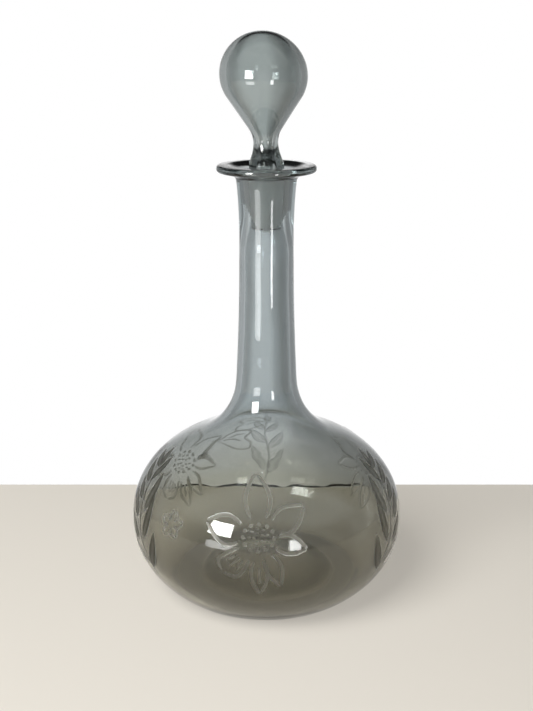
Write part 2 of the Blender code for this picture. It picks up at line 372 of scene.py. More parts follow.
def finished(name, mesh, material, body, replaced=None):
    """Turn a bmesh into a shown piece that rides on a body, in a node's place if one is given."""
    piece = made(name, mesh, material)
    piece.data.shade_smooth()
    piece.visible_diffuse = False
    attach(piece, body)
    if replaced:
        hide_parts(replaced)


# Heights between which the belly's tint passes to the globe's, and the globe's to the neck's
BELLY_TO_GLOBE = (0.020, 0.064)
GLOBE_TO_NECK = (0.045, 0.108)

# Depths under the lip's top between which the tint clears
LIP_CLEARING = (0.0060, 0.0045)

# Power that keeps the belly's deeper rim narrow, which is partly the longer path through the wall
# and partly painted shade
RIM_SHADE_POWER = 1.7


def height_tint(tree, place, low_color, high_color, lip_share, settings):
    """Tint that passes from the belly's to the globe's and neck's, and clears in the lip.

    The belly is deeper where it is seen at a slant, partly for the longer path through its wall
    and partly as painted shade on its rims. Painted shade darkens it further: the shadow under the
    base, and the dark dish of the lip with the peg in it.
    """
    axes = add_node(tree, "ShaderNodeSeparateXYZ", links={"Vector": place.outputs["Object"]})
    height = add_node(
        tree, "ShaderNodeMapRange",
        {"interpolation_type": "SMOOTHSTEP",
         "From Min": GLOBE_TO_NECK[0], "From Max": GLOBE_TO_NECK[1]},
        {"Value": axes.outputs["Z"]})
    # Deeper at a slant: partly the longer path through the wall, partly painted shade on the
    # belly's rims
    slant = add_node(tree, "ShaderNodeLayerWeight", {"Blend": 0.5})
    slant = add_node(
        tree, "ShaderNodeMath", {"operation": "POWER", 1: RIM_SHADE_POWER},
        {0: slant.outputs["Facing"]})
    belly = add_node(
        tree, "ShaderNodeMix",
        {"data_type": "RGBA", 6: (*settings.belly_color, 1), 7: (*settings.rim_color, 1)},
        {0: slant.outputs[0]})
    share = add_node(
        tree, "ShaderNodeMapRange",
        {"interpolation_type": "SMOOTHSTEP",
         "From Min": BELLY_TO_GLOBE[0], "From Max": BELLY_TO_GLOBE[1]},
        {"Value": axes.outputs["Z"]})
    low = add_node(
        tree, "ShaderNodeMix", {"data_type": "RGBA", 7: (*low_color, 1)},
        {0: share.outputs["Result"], 6: belly.outputs[2]})
    tint = add_node(
        tree, "ShaderNodeMix", {"data_type": "RGBA", 7: (*high_color, 1)},
        {0: height.outputs["Result"], 6: low.outputs[2]})
    lip = add_node(
        tree, "ShaderNodeMapRange",
        {"From Min": BODY_HIGH.z - LIP_CLEARING[0], "From Max": BODY_HIGH.z - LIP_CLEARING[1],
         "To Max": lip_share},
        {"Value": axes.outputs["Z"]})
    tint = add_node(
        tree, "ShaderNodeMix", {"data_type": "RGBA", 7: (1, 1, 1, 1)},
        {0: lip.outputs["Result"], 6: tint.outputs[2]})
    # Painted shade: the shadow under the base low down, and the shade in the lip's dish and on the
    # peg high up
    shade = add_node(tree, "ShaderNodeAttribute", {"attribute_name": PAINTED_SHADE})
    upper = add_node(
        tree, "ShaderNodeMath", {"operation": "GREATER_THAN", 1: BODY_HIGH.z / 2},
        {0: axes.outputs["Z"]})
    deep = add_node(
        tree, "ShaderNodeMix",
        {"data_type": "RGBA", 6: (*settings.base_shadow_color, 1), 7: (*settings.dish_shade_color, 1)},
        {0: upper.outputs[0]})
    return add_node(
        tree, "ShaderNodeMix", {"data_type": "RGBA"},
        {0: shade.outputs["Fac"], 6: tint.outputs[2], 7: deep.outputs[2]})


# Values of the smears' noise between which clean glass passes to smeared
SMEAR_RANGE = (0.35, 0.75)


def blown_glass(name, low_color, high_color, lip_share, settings):
    """Blown glass, fire polished and clear, but matt and pitted where it was ground with emery.

    The blowing left slow swells, and hands left faint smears. Its tone deepens with the thickness
    that is looked through, and painted shade darkens it under the base, in the lip's dish, on the
    peg and on the belly's rims.
    """
    material, tree = new_material(name)
    place = add_node(tree, "ShaderNodeTexCoord")
    smear = add_node(
        tree, "ShaderNodeTexNoise", {"Scale": 1 / SMEAR_SIZE, "Detail": 3},
        {"Vector": place.outputs["Object"]})
    smooth = add_node(
        tree, "ShaderNodeMapRange",
        {"From Min": SMEAR_RANGE[0], "From Max": SMEAR_RANGE[1],
         "To Min": POLISHED_ROUGHNESS[0], "To Max": POLISHED_ROUGHNESS[1]},
        {"Value": smear.outputs["Fac"]})
    swell = add_node(
        tree, "ShaderNodeTexNoise", {"Scale": 1 / SWELL_SIZE, "Detail": 1},
        {"Vector": place.outputs["Object"]})
    swelled = add_node(
        tree, "ShaderNodeBump", {"Strength": 1.0, "Distance": SWELL_DEPTH},
        {"Height": swell.outputs["Fac"]})
    ground = add_node(tree, "ShaderNodeAttribute", {"attribute_name": GROUND})
    grain = add_node(
        tree, "ShaderNodeTexNoise", {"Scale": 1 / GRIT_SIZE, "Detail": 4},
        {"Vector": place.outputs["Object"]})
    matt = add_node(
        tree, "ShaderNodeMapRange",
        {"To Min": GROUND_ROUGHNESS[0], "To Max": GROUND_ROUGHNESS[1]},
        {"Value": grain.outputs["Fac"]})
    pits = add_node(
        tree, "ShaderNodeMath", {"operation": "MULTIPLY"},
        {0: grain.outputs["Fac"], 1: ground.outputs["Fac"]})
    bump = add_node(
        tree, "ShaderNodeBump", {"Strength": 0.6, "Distance": GRIT_DEPTH},
        {"Height": pits.outputs[0], "Normal": swelled.outputs["Normal"]})
    rough = add_node(
        tree, "ShaderNodeMix", {"data_type": "FLOAT"},
        {0: ground.outputs["Fac"], 2: smooth.outputs["Result"], 3: matt.outputs["Result"]})
    clear = add_node(
        tree, "ShaderNodeMapRange", {"To Min": 1.0, "To Max": settings.ground_clearness},
        {"Value": ground.outputs["Fac"]})
    tint = height_tint(tree, place, low_color, high_color, lip_share, settings)
    tint = add_node(
        tree, "ShaderNodeMix", {"data_type": "RGBA", 7: (*settings.ground_color, 1)},
        {0: ground.outputs["Fac"], 6: tint.outputs[2]})
    shader = add_node(
        tree, "ShaderNodeBsdfPrincipled", {"IOR": GLASS_IOR},
        {"Base Color": tint.outputs[2], "Roughness": rough.outputs[0],
         "Transmission Weight": clear.outputs["Result"], "Normal": bump.outputs["Normal"]})
    depth = add_node(
        tree, "ShaderNodeVolumeAbsorption",
        {"Color": (*settings.depth_color, 1), "Density": settings.depth_density})
    add_node(
        tree, "ShaderNodeOutputMaterial",
        links={"Surface": shader.outputs["BSDF"], "Volume": depth.outputs["Volume"]})
    return material


def faces_axis(vertex):
    """True where the surface at a vertex looks towards the Z axis."""
    return vertex.normal.x * vertex.co.x + vertex.normal.y * vertex.co.y < 0


# Height below which nothing moves, so that the foot stays flat, and the height from which the
# outer face is drawn in by its full depth
FOOT_STILL = 0.001
FOOT_EASED = 0.006

# Radius of the core, inside which every face counts as an inner one, the base's middle too
CORE_RADIUS = 0.01

# How many times less the outer face wanders than the inner one
OUTER_CALM = 3


def waver(mesh, settings, depth):
    """Let the blown wall wander a little, the outer face only inwards and from a depth.

    The inner wall comes to rest below the ground socket, which runs true.
    """
    scale = 1 / settings.waviness_length
    socket_foot = BODY_HIGH.z - settings.ground_top - settings.ground_length
    for vertex in mesh.verts:
        if vertex.co.z < FOOT_STILL:
            continue
        swell = noise.noise(vertex.co * scale)
        if faces_axis(vertex) or vertex.co.xy.length < CORE_RADIUS:
            calm = min(1, max(0, (socket_foot - vertex.co.z) / settings.waviness_length))
            vertex.co += vertex.normal * swell * settings.inner_waviness * calm
        else:
            inset = depth + (0.5 + 0.5 * swell) * settings.inner_waviness / OUTER_CALM
            vertex.co -= vertex.normal * inset * min(1, vertex.co.z / FOOT_EASED)
    mesh.normal_update()


def etched_glass(name, color, clearness):
    """Glass bitten by acid: a fine frost that blurs what is behind it and fades at its edges."""
    material, tree = new_material(name)
    place = add_node(tree, "ShaderNodeTexCoord")
    grain = add_node(
        tree, "ShaderNodeTexNoise", {"Scale": 1 / BITE_SIZE, "Detail": 3},
        {"Vector": place.outputs["Object"]})
    bitten = add_node(tree, "ShaderNodeAttribute", {"attribute_name": FROST})
    depth = add_node(
        tree, "ShaderNodeMath", {"operation": "MULTIPLY_ADD", 1: 0.5, 2: 0.75},
        {0: grain.outputs["Fac"]})
    depth = add_node(
        tree, "ShaderNodeMath", {"operation": "MULTIPLY", "use_clamp": True},
        {0: depth.outputs[0], 1: bitten.outputs["Fac"]})
    rough = add_node(
        tree, "ShaderNodeMapRange",
        {"To Min": ETCHED_ROUGHNESS[0], "To Max": ETCHED_ROUGHNESS[1]},
        {"Value": depth.outputs[0]})
    clear = add_node(
        tree, "ShaderNodeMapRange", {"To Min": 1.0, "To Max": clearness},
        {"Value": depth.outputs[0]})
    tint = add_node(
        tree, "ShaderNodeMix", {"data_type": "RGBA", 6: (1, 1, 1, 1), 7: (*color, 1)},
        {0: depth.outputs[0]})
    bump = add_node(
        tree, "ShaderNodeBump", {"Strength": 0.3, "Distance": BITE_DEPTH},
        {"Height": grain.outputs["Fac"]})
    shader = add_node(
        tree, "ShaderNodeBsdfPrincipled", {"IOR": FILM_IOR, "Specular IOR Level": FILM_GLOSS},
        {"Base Color": tint.outputs[2], "Roughness": rough.outputs["Result"],
         "Transmission Weight": clear.outputs["Result"], "Normal": bump.outputs["Normal"]})
    add_node(tree, "ShaderNodeOutputMaterial", links={"Surface": shader.outputs["BSDF"]})
    return material


class GlobeSkin:
    """The body's outer section as arc lengths, radii and heights, measured from the equator up."""

    def __init__(self, spacing):
        outline = smoothed(section_of("decanter_body"), spacing)
        crest = max(range(len(outline)), key=lambda index: outline[index].y)
        outer = outline[crest:][::-1]
        self.radii = np.array([point.x for point in outer])
        self.heights = np.array([point.y for point in outer])
        steps = np.hypot(np.diff(self.radii), np.diff(self.heights))
        lengths = np.concatenate([[0], np.cumsum(steps)])
        self.lengths = lengths - lengths[self.radii.argmax()]

    def radius(self, length):
        """Radius at an arc length above the equator."""
        return float(np.interp(length, self.lengths, self.radii))

    def height(self, length):
        """Height at an arc length above the equator."""
        return float(np.interp(length, self.lengths, self.heights))

    def wrap(self, flat, azimuth, rise, depth):
        """Place of a flat point of a drawing whose middle lies at an azimuth and rise."""
        length = rise + flat.y
        radius = self.radius(length)
        reach = 0.001
        along = Vector((
            self.radius(length + reach) - self.radius(length - reach),
            self.height(length + reach) - self.height(length - reach))).normalized()
        out = radius + along.y * (flat.z - depth)
        height = self.height(length) - along.x * (flat.z - depth)
        turn = azimuth + flat.x / radius
        return Vector((out * math.sin(turn), -out * math.cos(turn), height))


def curve_through(knots, step):
    """Points of a smooth flat curve through its knots, at most a step apart."""
    first = knots[0] * 2 - knots[1]
    last = knots[-1] * 2 - knots[-2]
    points = []
    padded = [first, *knots, last]
    for p0, p1, p2, p3 in zip(padded, padded[1:], padded[2:], padded[3:]):
        count = max(2, math.ceil((p2 - p1).length / step))
        for index in range(count):
            t = index / count
            points.append(
                p1 + 0.5 * t * (p2 - p0 + t * (2 * p0 - 5 * p1 + 4 * p2 - p3
                                               + t * (3 * (p1 - p2) + p3 - p0))))
    points.append(knots[-1].copy())
    return points


# How deeply a ribbon is etched at its very ends, and how fast it deepens along it
END_FROST = 0.2
END_RISE = 6


def ribbon(mesh, path, halves, rows):
    """Lay a flat ribbon along a path, half as wide as halves says, and frost it by its rows.

    Each row across the ribbon has a share of the half width and how deeply it is etched.
    """
    frost = mesh.verts.layers.float[FROST]
    last = len(path) - 1
    grid = bmesh.ops.create_grid(mesh, x_segments=last, y_segments=len(rows) - 1, size=1)
    for vertex in grid["verts"]:
        index = round((vertex.co.x + 1) / 2 * last)
        share, depth = rows[round((vertex.co.y + 1) / 2 * (len(rows) - 1))]
        ahead = path[min(index + 1, last)] - path[max(index - 1, 0)]
        side = Vector((-ahead.y, ahead.x)).normalized()
        spot = path[index] + side * share * halves[index]
        vertex.co = (spot.x, spot.y, 0)
        vertex[frost] = depth * min(
            1, END_FROST + END_RISE * index / last, END_FROST + END_RISE * (last - index) / last)


# Rows across a line and across a leaf with its lighter midrib: share of the half width, and depth
STROKE_ROWS = ((-1, 0), (-0.4, 1), (0.4, 1), (1, 0))
LEAF_ROWS = ((-1, 0), (-0.72, 1), (-0.12, 0.75), (0, 0.35), (0.12, 0.75), (0.72, 1), (1, 0))

# Share of its width that a line keeps at its ends, and the powers that fill out a line and a leaf
STROKE_END = 0.45
STROKE_FULLNESS = 0.35
LEAF_FULLNESS = 0.9

# Power that moves a leaf's widest place towards its foot
LEAF_LEAN = 0.8


def stroke(mesh, knots, settings, width_share=1.0):
    """Draw one line through its knots, thinner towards both ends."""
    path = curve_through(knots, settings.stroke_step)
    half = settings.stroke_width / 2 * width_share
    last = len(path) - 1
    halves = [
        half * (STROKE_END
                + (1 - STROKE_END) * abs(math.sin(math.pi * index / last)) ** STROKE_FULLNESS)
        for index in range(last + 1)]
    ribbon(mesh, path, halves, STROKE_ROWS)


def leaf(mesh, foot, tip, bend, half_width, settings):
    """Frost a pointed leaf, lightly along its midrib."""
    middle = (foot + tip) / 2
    side = Vector((foot.y - tip.y, tip.x - foot.x)).normalized()
    path = curve_through([foot, middle + side * bend, tip], settings.stroke_step)
    last = len(path) - 1
    halves = [
        half_width * abs(math.sin(math.pi * (index / last) ** LEAF_LEAN)) ** LEAF_FULLNESS
        for index in range(last + 1)]
    ribbon(mesh, path, halves, LEAF_ROWS)


def polar(direction, distance):
    """Flat point at a direction in degrees and a distance from the middle."""
    angle = math.radians(direction)
    return Vector((math.cos(angle), math.sin(angle))) * distance


# One petal's outline: share of its length and of its half width, from its foot to its tip
ROUND_PETAL_SHARES = (
    (0.0, 0.58), (0.16, 0.86), (0.38, 1.0), (0.64, 0.78), (0.86, 0.36), (1.0, 0.07))
FOLDED_PETAL_SHARES = ((0.0, 0.62), (0.40, 0.92), (0.74, 1.0), (0.86, 0.78), (1.0, 0.08))

# Direction in degrees, start, length, half width and lean of the tip in metres, outline, veins
PETALS = (
    (92, 0.0096, 0.0250, 0.0063, 0.0015, ROUND_PETAL_SHARES, 0),
    (31, 0.0100, 0.0172, 0.0068, 0.0012, ROUND_PETAL_SHARES, 0),
    (-13, 0.0095, 0.0160, 0.0046, -0.0010, ROUND_PETAL_SHARES, 0),
    (-62, 0.0105, 0.0178, 0.0040, -0.0022, ROUND_PETAL_SHARES, 0),
    (-88, 0.0120, 0.0190, 0.0042, -0.0004, ROUND_PETAL_SHARES, 1),
    (-132, 0.0112, 0.0150, 0.0066, -0.0010, FOLDED_PETAL_SHARES, 3),
    (170, 0.0098, 0.0180, 0.0074, -0.0008, ROUND_PETAL_SHARES, 0),
)

# A petal's veins: shares of its length where they start, bend and end, how much shorter the outer
# ones are, how far apart they stand as a share of the half width, how much of that they have at
# the petal's foot, and their width as a share of a line's
VEIN_PLACES = (0.18, 0.42, 0.66)
VEIN_SHORTENING = 0.08
VEIN_SPACING = 0.42
VEIN_FAN = 0.6
VEIN_WIDTH = 0.7

# The eye: half width and half height of its oval of beads, their number and their width as a
# share of a line's. Within it, the radius and the number of short upright lines in each ring,
# their length as a share of a bead's, and their width.
EYE_RADII = (0.0080, 0.0068)
EYE_BEADS = 12
BEAD_WIDTH = 1.05
EYE_RINGS = ((0.0047, 9), (0.0024, 5))
COMB_LENGTH = 0.55
COMB_WIDTH = 0.9

# The small flower's petals: their number, start, length, half width and lean
BUD_PETALS = 5
BUD_PETAL = (0.0016, 0.0062, 0.0024, 0.0)


def petal(mesh, direction, start, length, half_width, lean, shares, veins, settings):
    """Draw a petal's two sides and its veins."""
    axis = polar(direction, 1)
    side = Vector((-axis.y, axis.x))
    foot = axis * start
    for sign in (1, -1):
        knots = [
            foot + axis * length * along
            + side * (sign * half_width * across + lean * along ** 2)
            for along, across in shares]
        stroke(mesh, knots, settings)
    for index in range(veins):
        aside = index - (veins - 1) / 2
        spread = aside * half_width * VEIN_SPACING
        near, middle, far = VEIN_PLACES
        knots = [
            foot + axis * length * along
            + side * (spread * (VEIN_FAN + along) + lean * along ** 2)
            for along in (near, middle, far - VEIN_SHORTENING * abs(aside))]
        stroke(mesh, knots, settings, VEIN_WIDTH)


def flower(mesh, settings):
    """Draw a flower: petals round an eye of beads, with a comb of short lines across it."""
    for values in PETALS:
        petal(mesh, *values, settings)
    half = settings.bead_length / 2
    for index in range(EYE_BEADS):
        angle = 2 * math.pi * index / EYE_BEADS
        out = Vector((math.cos(angle) * EYE_RADII[0], math.sin(angle) * EYE_RADII[1]))
        step = out.normalized() * half
        stroke(mesh, [out - step, out, out + step], settings, BEAD_WIDTH)
    step = Vector((0, half * COMB_LENGTH))
    for ring, count in EYE_RINGS:
        for index in range(count):
            middle = polar(360 * (index + 0.5) / count, ring)
            stroke(mesh, [middle - step, middle, middle + step], settings, COMB_WIDTH)


def bud(mesh, settings):
    """Draw a small flower of petals in outline."""
    for index in range(BUD_PETALS):
        direction = 90 + 360 / BUD_PETALS * index
        petal(mesh, direction, *BUD_PETAL, ROUND_PETAL_SHARES, 0, settings)


# Width of a spray's stem and of the lobed leaf's outline, as a share of a line's
STEM_WIDTH = 0.6
LOBED_LEAF_WIDTH = 0.8


def spray(mesh, stem, leaves, settings):
    """Draw a curved stem and its leaves, each from foot to tip with its bend and half width."""
    stroke(mesh, [Vector(knot) for knot in stem], settings, STEM_WIDTH)
    for foot, tip, bend, half_width in leaves:
        leaf(mesh, Vector(foot), Vector(tip), bend, half_width, settings)


# A lobed leaf, beside the back spray: its outline and its two veins
LOBED_LEAF = (
    (0.0150, 0.0065), (0.0095, 0.0070), (0.0045, 0.0120), (-0.0025, 0.0140), (-0.0100, 0.0115),
    (-0.0070, 0.0055), (-0.0110, 0.0010), (-0.0100, -0.0040), (-0.0020, -0.0040), (0.0050, 0.0000),
    (0.0110, 0.0045))
LOBED_LEAF_VEINS = (
    ((0.0075, 0.0050), (0.0010, 0.0050), (-0.0045, 0.0030)),
    ((0.0035, 0.0068), (-0.0010, 0.0090), (-0.0065, 0.0095)))


def lobed_leaf(mesh, settings):
    """Draw the lobed leaf and its veins."""
    stroke(mesh, [Vector(knot) for knot in LOBED_LEAF], settings, LOBED_LEAF_WIDTH)
    for vein in LOBED_LEAF_VEINS:
        stroke(mesh, [Vector(knot) for knot in vein], settings, VEIN_WIDTH)


# Side spray, drawn for the left one and mirrored for the right: its stem and leaves
SIDE_STEM = (
    (0.0200, -0.0180), (0.0095, -0.0020), (0.0045, 0.0120), (0.0000, 0.0260),
    (-0.0035, 0.0400))
SIDE_LEAVES = (
    ((-0.0030, 0.0380), (-0.0180, 0.0450), 0.0010, 0.0026),
    ((-0.0030, 0.0390), (-0.0105, 0.0510), 0.0010, 0.0024),
    ((-0.0010, 0.0300), (-0.0010, 0.0480), -0.0010, 0.0028),
    ((-0.0020, 0.0280), (-0.0170, 0.0390), 0.0015, 0.0030),
    ((0.0010, 0.0190), (-0.0130, 0.0290), 0.0015, 0.0030),
    ((0.0080, 0.0140), (0.0055, 0.0385), -0.0020, 0.0034),
    ((0.0020, 0.0090), (-0.0140, 0.0220), 0.0015, 0.0034),
    ((0.0110, -0.0010), (0.0120, 0.0270), -0.0022, 0.0036),
    ((0.0050, -0.0030), (-0.0100, 0.0090), 0.0015, 0.0034),
    ((0.0170, -0.0150), (0.0225, 0.0090), -0.0015, 0.0036),
    ((0.0110, -0.0150), (-0.0050, -0.0050), 0.0015, 0.0032),
)

# Back spray: its stem and leaves
BACK_STEM = ((0.0020, -0.0280), (-0.0015, -0.0120), (0.0015, 0.0080), (0.0000, 0.0220))
BACK_LEAVES = (
    ((0.0010, -0.0200), (-0.0110, -0.0060), 0.0015, 0.0030),
    ((0.0000, -0.0180), (0.0100, -0.0020), -0.0015, 0.0030),
    ((-0.0010, -0.0060), (-0.0110, 0.0100), 0.0015, 0.0032),
    ((0.0000, -0.0020), (0.0105, 0.0130), -0.0015, 0.0032),
    ((0.0010, 0.0080), (-0.0080, 0.0220), 0.0012, 0.0028),
    ((0.0012, 0.0110), (0.0085, 0.0250), -0.0012, 0.0028),
    ((0.0000, 0.0210), (0.0000, 0.0360), 0.0006, 0.0026),
)


def side_spray(mesh, settings):
    """Draw the tall spray that stands beside the front flower."""
    spray(mesh, SIDE_STEM, SIDE_LEAVES, settings)


def back_spray(mesh, settings):
    """Draw the straight spray at the back."""
    spray(mesh, BACK_STEM, BACK_LEAVES, settings)


# Name, drawing, azimuth in degrees (0 faces the photograph's camera), rise above the equator,
# mirrored, share of the full depth, and whether it is all leaves
ORNAMENT = (
    ("front_flower", flower, -3.2, 0.0184, False, 1.0, False),
    ("back_left_flower", flower, -136, 0.0090, True, 0.95, False),
    ("back_right_flower", flower, 124, 0.0130, False, 0.45, False),
    ("left_bud", bud, -43, 0.0170, False, 0.5, False),
    ("back_left_leaf", lobed_leaf, -163, 0.0120, False, 0.85, False),
    ("back_top_leaf", lobed_leaf, -172, 0.0300, True, 0.5, False),
    ("right_spray", side_spray, 68, 0.0, True, 0.8, True),
    ("left_spray", side_spray, -70, 0.0, False, 1.0, True),
    ("back_spray", back_spray, 180, 0.0130, False, 0.3, True),
)

# Share of the light that etched lines and leaves let through where they are deepest
LINE_CLEARNESS = 0.95
LEAF_CLEARNESS = 0.99

# How far below the globe's surface the bottom of a film lies, in thicknesses of the film
FILM_SINK = 1.5

# How much finer than the blown body's the outline is on which the films are laid
SKIN_FINENESS = 4


class DECANTER_OT_etch_globe(bpy.types.Operator):
    """Draw the flowers and sprays flat, give them a skin's thickness and wrap them on the globe"""

    bl_idname = "decanter.etch_globe"
    bl_label = "Etch the Globe"

    def execute(self, context):
        settings = context.scene.decanter_etching
        skin = GlobeSkin(context.scene.decanter_glass.outline_spacing / SKIN_FINENESS)
        lines = etched_glass("acid_etched_glass", settings.frost_color, LINE_CLEARNESS)
        # The leaves' deeper grey is painted shade
        leaves = etched_glass("matt_etched_glass_painted_shade", settings.leaf_shade_color, LEAF_CLEARNESS)
        for name, draw, azimuth, rise, mirrored, share, leafy in ORNAMENT:
            mesh = bmesh.new()
            layer = mesh.verts.layers.float.new(FROST)
            draw(mesh, settings)
            for vertex in mesh.verts:
                vertex[layer] *= share
            if mirrored:
                bmesh.ops.scale(mesh, vec=(-1, 1, 1), verts=mesh.verts)
            bmesh.ops.remove_doubles(mesh, verts=mesh.verts, dist=WELD_DISTANCE)
            grown = bmesh.ops.extrude_face_region(mesh, geom=mesh.faces[:], use_keep_orig=True)
            risen = [item for item in grown["geom"] if isinstance(item, bmesh.types.BMVert)]
            bmesh.ops.translate(mesh, vec=(0, 0, settings.frost_thickness), verts=risen)
            for vertex in mesh.verts:
                vertex.co = skin.wrap(
                    vertex.co, math.radians(azimuth), rise, settings.frost_thickness * FILM_SINK)
            bmesh.ops.recalc_face_normals(mesh, faces=mesh.faces)
            finished(name, mesh, leaves if leafy else lines, "vessel")
        return {"FINISHED"}


# Over what width the painted shadow under the base sets in from its edge, and the share of its
# radius inside which it stays at its least
BASE_SHADOW_BLUR = 0.003
BASE_SHADOW_MIDDLE = 0.3

# Least share of the painted shade in the lip's dish, round the socket
DISH_SHADE_LEAST = 0.40

# The ground band's lower end: size of its unevenness, the power by which it rises to the sides,
# and how much more it rises on the left than on the right
RAG_SIZE = 0.003
RISE_POWER = 2.5
RISE_LEFT, RISE_RIGHT = 1.2, 0.8


class DECANTER_OT_blow_body(bpy.types.Operator):
    """Spin the body from its section, grind its socket and paint shade under its base and in its
    dish
    """

    bl_idname = "decanter.blow_body"
    bl_label = "Blow the Body"

    def execute(self, context):
        settings = context.scene.decanter_glass
        outline = smoothed(section_of("decanter_body"), settings.outline_spacing)
        mesh = spun(outline, settings.turn_steps)
        waver(mesh, settings, context.scene.decanter_etching.wall_depth)
        top = BODY_HIGH.z - settings.ground_top
        ground = mesh.verts.layers.float.new(GROUND)
        shade = mesh.verts.layers.float.new(PAINTED_SHADE)
        for vertex in mesh.verts:
            place = vertex.co
            radius = place.xy.length
            # Painted shadow under the base, deepest towards the edge of its ring
            if place.z < settings.base_shadow_height:
                within = min(1, max(0, (settings.base_shadow_radius - radius) / BASE_SHADOW_BLUR))
                vertex[shade] = within * max(BASE_SHADOW_MIDDLE, radius / settings.base_shadow_radius) ** 2
            if not faces_axis(vertex):
                continue
            ragged = noise.noise(Vector((place.x, place.y, 0)) / RAG_SIZE) * settings.ground_rag
            aside = place.x / radius if radius > 0 else 0
            rise = settings.ground_rise * abs(aside) ** RISE_POWER
            rise *= RISE_LEFT if aside < 0 else RISE_RIGHT
            if top - settings.ground_length + rise + ragged < place.z < top:
                vertex[ground] = 1
            elif place.z >= top:
                # Painted shade in the lip's dish, lighter round the socket
                outward = (radius - settings.dish_shade_start) / settings.dish_shade_spread
                vertex[shade] = min(1, max(DISH_SHADE_LEAST, outward))
        glass = blown_glass(
            "smoky_blown_glass", settings.globe_color, settings.neck_color, 1.0, settings)
        finished("blown_body", mesh, glass, "vessel", "decanter_body")
        return {"FINISHED"}


# Share of the dish's dark colour painted as shade at the foot of the stem, and the height over
# which it fades out
STEM_SHADE = 0.3
STEM_FADE = 0.0012


class DECANTER_OT_blow_stopper(bpy.types.Operator):
    """Spin the stopper from its section, grind its peg and paint shade on the peg's end and the
    stem's foot
    """

    bl_idname = "decanter.blow_stopper"
    bl_label = "Blow the Stopper"

    def execute(self, context):
        settings = context.scene.decanter_glass
        mesh = spun(smoothed(section_of("stopper"), settings.outline_spacing), settings.turn_steps)
        peg_top = BODY_HIGH.z
        ground = mesh.verts.layers.float.new(GROUND)
        shade = mesh.verts.layers.float.new(PAINTED_SHADE)
        for vertex in mesh.verts:
            if faces_axis(vertex):
                continue
            # Painted shade: a dark band at the peg's polished end, and a faint shade fading out up
            # the stem's foot
            if vertex.co.z < STOPPER_LOW.z + settings.peg_end_shade:
                vertex[shade] = 1
            elif vertex.co.z < peg_top - settings.ground_top:
                vertex[ground] = 1
            else:
                below = (peg_top + settings.peg_shade_rise - vertex.co.z) / STEM_FADE
                vertex[shade] = STEM_SHADE * min(1, max(0, below))
        shear = math.tan(settings.stopper_lean)
        for vertex in mesh.verts:
            vertex.co.x -= shear * max(0, vertex.co.z - peg_top)
        mesh.normal_update()
        glass = blown_glass(
            "clear_blown_glass", settings.stopper_color, settings.stopper_color, 0.0, settings)
        finished("blown_stopper", mesh, glass, "loose_stopper", "stopper")
        return {"FINISHED"}


# Name, azimuth in degrees, distance, height, width, height of the pane, radiance
WINDOW_PANES = (
    ("window_low", -36, 0.60, 0.065, 0.24, 0.090, 4),
    ("window_high", -38, 0.60, 0.300, 0.21, 0.200, 26),
    ("window_right", 22, 0.60, 0.110, 0.085, 0.140, 9),
)

# Tilt of the soft box and of the fill, in degrees up from straight down
SOFT_BOX_TILT = 41
FILL_TILT = 55

# An area lamp's power for each unit of its radiance and area
LAMP_POWER = 4


def area_lamp(name, azimuth, distance, height, wide, tall, radiance):
    """A rectangular lamp that faces the axis level, at an azimuth, distance and height."""
    lamp = bpy.data.lights.new(name, "AREA")
    lamp.shape = "RECTANGLE"
    lamp.size, lamp.size_y = wide, tall
    lamp.energy = radiance * wide * tall * LAMP_POWER
    angle = math.radians(azimuth)
    thing = bpy.data.objects.new(name, lamp)
    thing.location = (math.sin(angle) * distance, -math.cos(angle) * distance, height)
    thing.rotation_euler = (math.pi / 2, 0, angle)
    thing.visible_camera = False
    bpy.context.scene.collection.objects.link(thing)
    return thing


def hang_lamps(settings):
    """Hang the window panes that glass mirrors, and two soft lamps that it doesn't."""
    for values in WINDOW_PANES:
        area_lamp(*values).visible_diffuse = False
    soft_box = area_lamp("soft_box", -42, 1.0, 1.15, 0.9, 0.9, settings.soft_box_radiance)
    soft_box.rotation_euler.x = math.radians(SOFT_BOX_TILT)
    fill = area_lamp("fill", -15, 1.2, 0.9, 1.0, 1.0, settings.fill_radiance)
    fill.rotation_euler.x = math.radians(FILL_TILT)
    fill.data.use_shadow = False
    for lamp in (soft_box, fill):
        lamp.visible_glossy = False
        lamp.visible_transmission = False


# The table's half width and half depth, and the steps along the painted shadow behind its far edge
# and that shadow's swells
TABLE_HALVES = (1.2, 0.75)
GAP_SHADOW_STEPS = 60
GAP_SHADOW_SWELLS = 9


def matt_finish(name, color, roughness):
    """A plain matt finish, such as limewash, or the dark of a painted shadow."""
    material, tree = new_material(name)
    shader = add_node(
        tree, "ShaderNodeBsdfPrincipled", {"Base Color": color, "Roughness": roughness})
    add_node(tree, "ShaderNodeOutputMaterial", links={"Surface": shader.outputs["BSDF"]})
    return material


